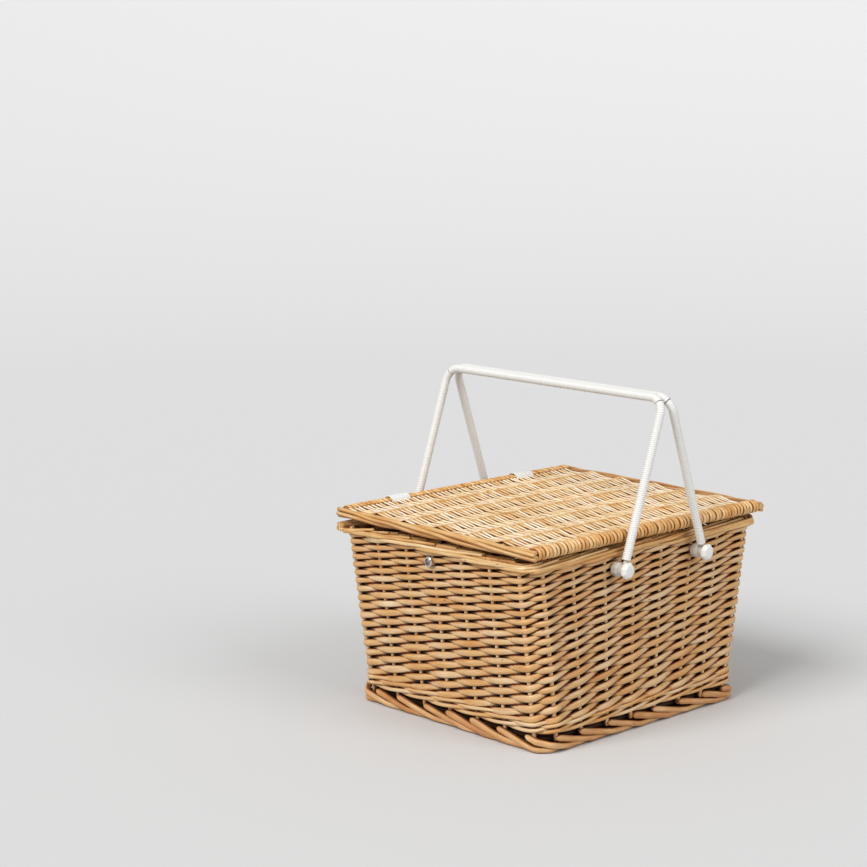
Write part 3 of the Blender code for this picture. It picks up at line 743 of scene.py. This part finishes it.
def rollCore(rollY):
    run = np.linspace(frontRollLow.x - 0.0002, frontRollHigh.x + 0.0002, 30)[None]
    line = np.stack([run, np.full_like(run, rollY), np.full_like(run, lidMiddle)], axis=-1)
    radius = rollRadius - roll["core"]
    return sweepRods(line, upwards, radius, radius, 0.35, 0.8, sides=16, dome=0.0003)


addPiece("front_roll_ribs", rollRibs(frontRollY, -1, ()), "lid", lidWillow)
addPiece("back_roll_ribs", rollRibs(backRollY, 1, strapHalf), "lid", lidWillow)
addPiece("front_roll_rod", rollCore(frontRollY), "lid", borderWillow, ("lid_front_roll",))
addPiece("back_roll_rod", rollCore(backRollY), "lid", borderWillow, ("lid_back_roll",))

# Lid ends: four rods laid together, turning slowly about each other, each a little bent of its own.
lidEnd = {"rods": 4, "pitch": 0.31, "acrossX": 0.0019, "acrossZ": 0.0036, "radius": 0.0026}
for side, name in ((-1, "left"), (1, "right")):
    low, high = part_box(f"lid_end_{name}")
    count = lidEnd["rods"]
    run = np.broadcast_to(np.linspace(low.y, high.y, 70), (count, 70))
    turn = 2 * np.pi * (run / lidEnd["pitch"] * side + np.arange(count)[:, None]
                        / count) + wander(run, 0.35, 0.16)
    x = (low.x + high.x) / 2 + lidEnd["acrossX"] * np.cos(turn)
    z = (low.z + high.z) / 2 + lidEnd["acrossZ"] * np.sin(turn)
    taper = 1 - 0.3 * np.clip(np.abs((run - low.y) / (high.y - low.y) - 0.45) - 0.15, 0, 1)
    radius = lidEnd["radius"] * taper * (1 + draw.normal(0, 0.05, (count, 1)))
    tint = draw.uniform(0.2, 0.7, (count, 1)) + wander(run, 0.15, 0.1)
    addPiece(f"lid_end_rods_{name}", sweepRods(np.stack([x, run, z], axis=-1),
                                               np.array([side * 0.5, 0.0, 0.9]),
                                               radius, radius * 0.92,
                                               tint, 0.95, sides=10, dome=0.0004),
             "lid", edgeWillow, (f"lid_end_{name}",))
print("lid edges wound")


# Hinge straps: flat cane turns side by side round the back roll and the hinge rod, an oval each.
strap = {"turns": 10, "thick": 0.0006, "share": 0.505, "clear": 0.0004}
for name in ("left", "right"):
    low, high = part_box(f"hinge_strap_{name}")
    upper = (high.y - low.y) / 2 - strap["thick"] - 0.0001
    lower = (hingeHigh.z - hingeLow.z) / 2 + strap["clear"] + strap["thick"]
    turn = np.linspace(0, 2 * np.pi, 48, endpoint=False)[None]
    up = np.sin(turn) >= 0
    count = strap["turns"]
    step = (high.x - low.x) / count
    loose = draw.uniform(0.0, 0.00025, (count, 1))
    radius = np.where(up, upper, lower) + loose
    y = backRollY + radius * np.cos(turn)
    z = np.where(up, lidMiddle, (hingeLow.z + hingeHigh.z) / 2) + radius * np.sin(turn)
    x = low.x + step * (np.arange(count)[:, None] + 0.5) + 0.0003 * np.cos(turn)
    line = np.stack([x, y, z], axis=-1)
    outward = unit(np.stack([np.zeros_like(y), np.broadcast_to(np.cos(turn), y.shape),
                             np.broadcast_to(np.sin(turn), y.shape)], axis=-1))
    addPiece(f"strap_turns_{name}", sweepRods(line, outward, step * strap["share"], strap["thick"],
                                              draw.uniform(0, 1, (count, 1)), 0.95, sides=8,
                                              closed=True),
             "lid", whiteCane, (f"hinge_strap_{name}",))


# Bails: cane wound round the steel core. Row i of the grid follows the helix, at distance pitch *
# (turn + place in turn + angle / 2 pi) along the bail, and sinks into a groove between turns.
bail = {"pitch": 0.0021, "radius": 0.0046, "bend": 0.016, "groove": 0.00042, "start": 0.0102,
        "gap": 0.0004,
        "rows": (0.0, 0.10, 0.32, 0.68, 0.90), "drop": (1.0, 0.32, 0.0, 0.0, 0.32), "sides": 16}


def woundCane(bone, normal, start, stop):
    length = np.concatenate([[0], np.cumsum(np.linalg.norm(np.diff(bone, axis=0), axis=1))])
    ahead = unit(np.gradient(bone, axis=0))
    turns = int(math.ceil((stop - start) / bail["pitch"])) + 1
    rows = len(bail["rows"])
    row = (np.arange(-1, turns)[:, None] + np.array(bail["rows"])).ravel()
    drop = np.tile(bail["drop"], turns + 1)
    sides = bail["sides"]
    part = np.arange(sides) / sides
    along = np.clip(start + bail["pitch"] * (row[:, None] + part), start, stop)
    middle = np.stack([np.interp(along, length, bone[:, k]) for k in range(3)], axis=-1)
    tangent = unit(np.stack([np.interp(along, length, ahead[:, k]) for k in range(3)], axis=-1))
    across = np.cross(tangent, normal)
    turn = 2 * np.pi * part
    high = np.repeat(draw.normal(0, 0.00006, turns + 1), rows)
    radius = (bail["radius"] - bail["groove"] * drop + high)[:, None]
    points = middle + radius[..., None] * (np.cos(turn)[:, None] * normal + np.sin(turn)[:, None]
                                           * across)
    i, j = np.meshgrid(np.arange(len(row) - 1 - rows), np.arange(sides), indexing="ij")

    def index(a, b):
        return np.where(b < sides, a * sides + b % sides, (a + rows) * sides)

    quads = np.stack([index(i, j), index(i, j + 1), index(i + 1, j + 1), index(i + 1, j)],
                     axis=-1).reshape(-1, 4)
    used = len(row) * sides
    # Both ends close on a middle point; the ring there also runs down the helix's own step.
    endRing = np.concatenate([np.arange(sides), np.arange(rows, 0, -1) * sides])
    first, last = endRing, (len(row) - 1 - rows) * sides + endRing
    caps = np.concatenate([
        np.stack([np.full(len(first), used), np.roll(first, -1), first], axis=-1),
        np.stack([np.full(len(last), used + 1), last, np.roll(last, -1)], axis=-1)])
    ends = np.stack([[np.interp(s, length, bone[:, k]) for k in range(3)] for s in (start, stop)])
    tint = np.repeat(draw.uniform(0, 1, turns + 1), rows)[:, None]
    tone = np.stack(np.broadcast_arrays(tint, 1 - drop[:, None], np.cos(turn)[None]), axis=-1)
    space = np.stack(np.broadcast_arrays(row[:, None] * 0.03 + part * 0.03,
                                         (1 - drop)[:, None] * 0.001,
                                         np.zeros((1, 1))), axis=-1)
    return {"points": np.concatenate([points.reshape(-1, 3), ends]), "quads": quads, "caps": caps,
            "space": np.concatenate([space.reshape(-1, 3), np.zeros((2, 3))]),
            "tone": np.concatenate([tone.reshape(-1, 3), np.tile((0.5, 0.2, 0.0), (2, 1))])}


for side, name in ((-1, "left"), (1, "right")):
    knobLow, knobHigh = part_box(f"knob_{name}_front")
    pivot = (knobLow + knobHigh) / 2
    barLow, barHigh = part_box(f"{name}_bail_wrap_bar")
    barX = barHigh.x - bail["radius"] if side < 0 else barLow.x + bail["radius"]
    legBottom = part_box(f"{name}_bail_wrap_front")[0]
    legY = -(legBottom.y + bail["radius"])
    upward = unit(np.array([barX - pivot.x, 0.0, barHigh.z - bail["radius"] - pivot.z]))
    legLength = math.hypot(barX - pivot.x, barHigh.z - bail["radius"] - pivot.z)
    arc = np.linspace(0, np.pi / 2, 24)
    corner = np.stack([-legY + bail["bend"] * (1 - np.cos(arc)),
                       legLength - bail["bend"] + bail["bend"] * np.sin(arc)], axis=-1)
    half = np.concatenate([[[-legY, bail["start"]]], corner])
    outline = np.concatenate([half, (half * np.array([-1.0, 1.0]))[::-1]])
    bone = np.array([pivot.x, 0.0, pivot.z]) + outline[:, 1:] * upward
    bone[:, 1] = outline[:, 0]
    normal = np.cross(upward, np.array([0.0, 1.0, 0.0]))
    total = np.linalg.norm(np.diff(bone, axis=0), axis=1).sum()
    # The three runs meet halfway round the corners.
    leg = legLength - bail["bend"] - bail["start"] + bail["bend"] * math.radians(45)
    gap = bail["gap"]
    runs = (("front", 0.0, leg - gap), ("bar", leg + gap, total - leg - gap),
            ("back", total - leg + gap, total))
    for run, start, stop in runs:
        addPiece(f"{name}_cane_{run}", woundCane(bone, normal, start, stop), f"{name}_bail",
                 whiteCane, (f"{name}_bail_wrap_{run}",), sharpCaps=False, weld=True)
print("bails wound")


# Knobs and spacers: eight-sided mouldings with softened corners. Radius at an angle is a power mean
# of the distances to the eight flats; rings of (radius, height) are carried round it.
def faceted(profile, centre, axis, facets=8, sides=64, soften=70.0, turned=0.0):
    angle = 2 * np.pi * np.arange(sides) / sides + turned
    flats = 2 * np.pi * np.arange(facets) / facets
    reach = np.clip(np.cos(angle[:, None] - flats), 0, None) ** soften
    factor = np.mean(reach, axis=1) ** (-1 / soften)
    factor = factor / factor.max()
    profile = np.asarray(profile, float)
    u = np.array([1.0, 0.0, 0.0])
    w = np.cross(axis, u)
    radial = np.cos(angle)[:, None] * u + np.sin(angle)[:, None] * w
    rings = profile[1:-1]
    points = (np.asarray(centre) + rings[:, 1, None, None] * axis
              + rings[:, 0, None, None] * factor[:, None] * radial)
    used, top = len(rings) * sides, (len(rings) - 1) * sides
    here = np.arange(sides)
    ahead = (here + 1) % sides
    caps = np.concatenate([np.stack([np.full(sides, used), here, ahead], axis=-1),
                           np.stack([np.full(sides, used + 1), top + ahead, top + here], axis=-1)])
    ends = np.asarray(centre) + profile[[0, -1], 1, None] * axis
    flat = np.zeros((used + 2, 3))
    return {"points": np.concatenate([points.reshape(-1, 3), ends]),
            "quads": ringQuads(len(rings), sides), "caps": caps, "space": flat, "tone": flat + 0.9}


knobShape = ((0, 0.0058), (0.0035, 0.0058), (0.0060, 0.00575), (0.0065, 0.0056), (0.0086, 0.0037),
             (0.0089, 0.0032), (0.0089, 0.0010), (0.0087, 0.0004), (0.0082, 0.0), (0.0060, 0.0),
             (0.0031, 0.0), (0.0031, 0.0015), (0.0031, 0.0034), (0, 0.0034))
for name in ("left_front", "left_back", "right_front", "right_back"):
    outwards = -1.0 if name.endswith("front") else 1.0
    axis = np.array([0.0, outwards, 0.0])
    low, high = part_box(f"knob_{name}")
    centreX, centreZ = (low.x + high.x) / 2, (low.z + high.z) / 2
    wallLow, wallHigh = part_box(f"spacer_{name}")
    tall = wallHigh.y - wallLow.y
    spacerShape = ((0, tall), (0.0031, tall), (0.0066, tall), (0.0074, tall - 0.0005),
                   (0.0078, tall - 0.0012), (0.0078, tall / 2), (0.0078, 0.0010), (0.0072, 0.0),
                   (0.0031, 0.0), (0, 0.0))
    for kind, profile, near, far, plastic in (("knob", knobShape, low, high, whitePlastic),
                                              ("spacer", spacerShape, wallLow, wallHigh,
                                               shadedWhitePlastic)):
        centre = np.array([centreX, far.y if outwards < 0 else near.y, centreZ])
        piece = addPiece(f"{kind}_moulding_{name}",
                         faceted(profile, centre, axis, turned=np.pi / 8),
                         "basket", plastic, (f"{kind}_{name}",), sharpCaps=False)
        piece.data.set_sharp_from_angle(angle=math.radians(40))

# The metal CAD nodes keep their shapes and get their finishes.
for name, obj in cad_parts.items():
    if name.startswith(("dome_nut", "cup_washer", "inner_washer")):
        finish = nickelPlate
    elif name.startswith(("stud", "end_screw")):
        finish = steelWire
    elif name.endswith("core"):
        finish = shadedWhitePlastic
    else:
        continue
    for slot in obj.material_slots:
        slot.material = finish
    obj.data.set_sharp_from_angle(angle=math.radians(35))
print("fittings finished")


# Floor: a disc that curves up far from the basket, so that it has no visible horizon.
floor = {"flat": 2.6, "edge": 7.0, "rise": 1.2, "rings": 48, "sides": 96}
radius = np.concatenate([[0.02], np.linspace(0.3, floor["edge"], floor["rings"])])
height = floor["rise"] * np.clip((radius - floor["flat"]) / (floor["edge"] - floor["flat"]), 0,
                                 None) ** 2
angle = 2 * np.pi * np.arange(floor["sides"]) / floor["sides"]
points = np.stack([radius[:, None] * np.cos(angle), radius[:, None] * np.sin(angle),
                   np.broadcast_to(height[:, None], (len(radius), floor["sides"]))],
                   axis=-1).reshape(-1, 3)
quads = ringQuads(len(radius), floor["sides"])
floorMesh = bpy.data.meshes.new("studio_floor")
floorMesh.from_pydata(points.tolist(), [], quads.tolist() + [list(range(floor["sides"]))])
floorMesh.polygons.foreach_set("use_smooth", np.ones(len(floorMesh.polygons), bool))
floorPaint = startMaterial("palePaperFloor", {"Base Color": linear("#CFCFCF"), "Roughness": 0.9})[0]
floorMesh.materials.append(floorPaint)
studioFloor = bpy.data.objects.new("studio_floor", floorMesh)
bpy.context.scene.collection.objects.link(studioFloor)

# Light: a broad soft key from the left, a weak fill from the front and an even pale surround.
world = bpy.data.worlds.new("studio")
bpy.context.scene.world = world
world.use_nodes = True
wire(world.node_tree, world.node_tree.nodes["Background"],
     {"Color": linear("#FFFFFF"), "Strength": 0.42})
for name, place, softness, power in (("key", (-1.00, -0.02, 0.90), 0.55, 2.0),
                                     ("fill", (0.10, -1.00, 0.65), 0.6, 0.85)):
    light = bpy.data.lights.new(name, "SUN")
    light.angle = softness
    light.energy = power
    lamp = bpy.data.objects.new(name, light)
    lamp.location = Vector(place) * 3
    lamp.rotation_euler = (-Vector(place)).to_track_quat("-Z", "Y").to_euler()
    bpy.context.scene.collection.objects.link(lamp)

# Camera: three quarter view over the front left corner, two and a half metres away.
camera = bpy.data.objects.new("camera", bpy.data.cameras.new("camera"))
camera.data.sensor_width = 36
camera.data.sensor_fit = "HORIZONTAL"
camera.data.lens = 93.17
camera.location = (-1.7153, -1.6329, 0.7051)
camera.rotation_euler = Vector((0.67669, 0.71599, -0.17158)).to_track_quat("-Z", "Y").to_euler()
bpy.context.scene.collection.objects.link(camera)
bpy.context.scene.camera = camera
bpy.context.scene.view_settings.view_transform = "Standard"
bpy.context.scene.view_settings.look = "Medium High Contrast"
print("stage set")

bpy.context.view_layer.update()
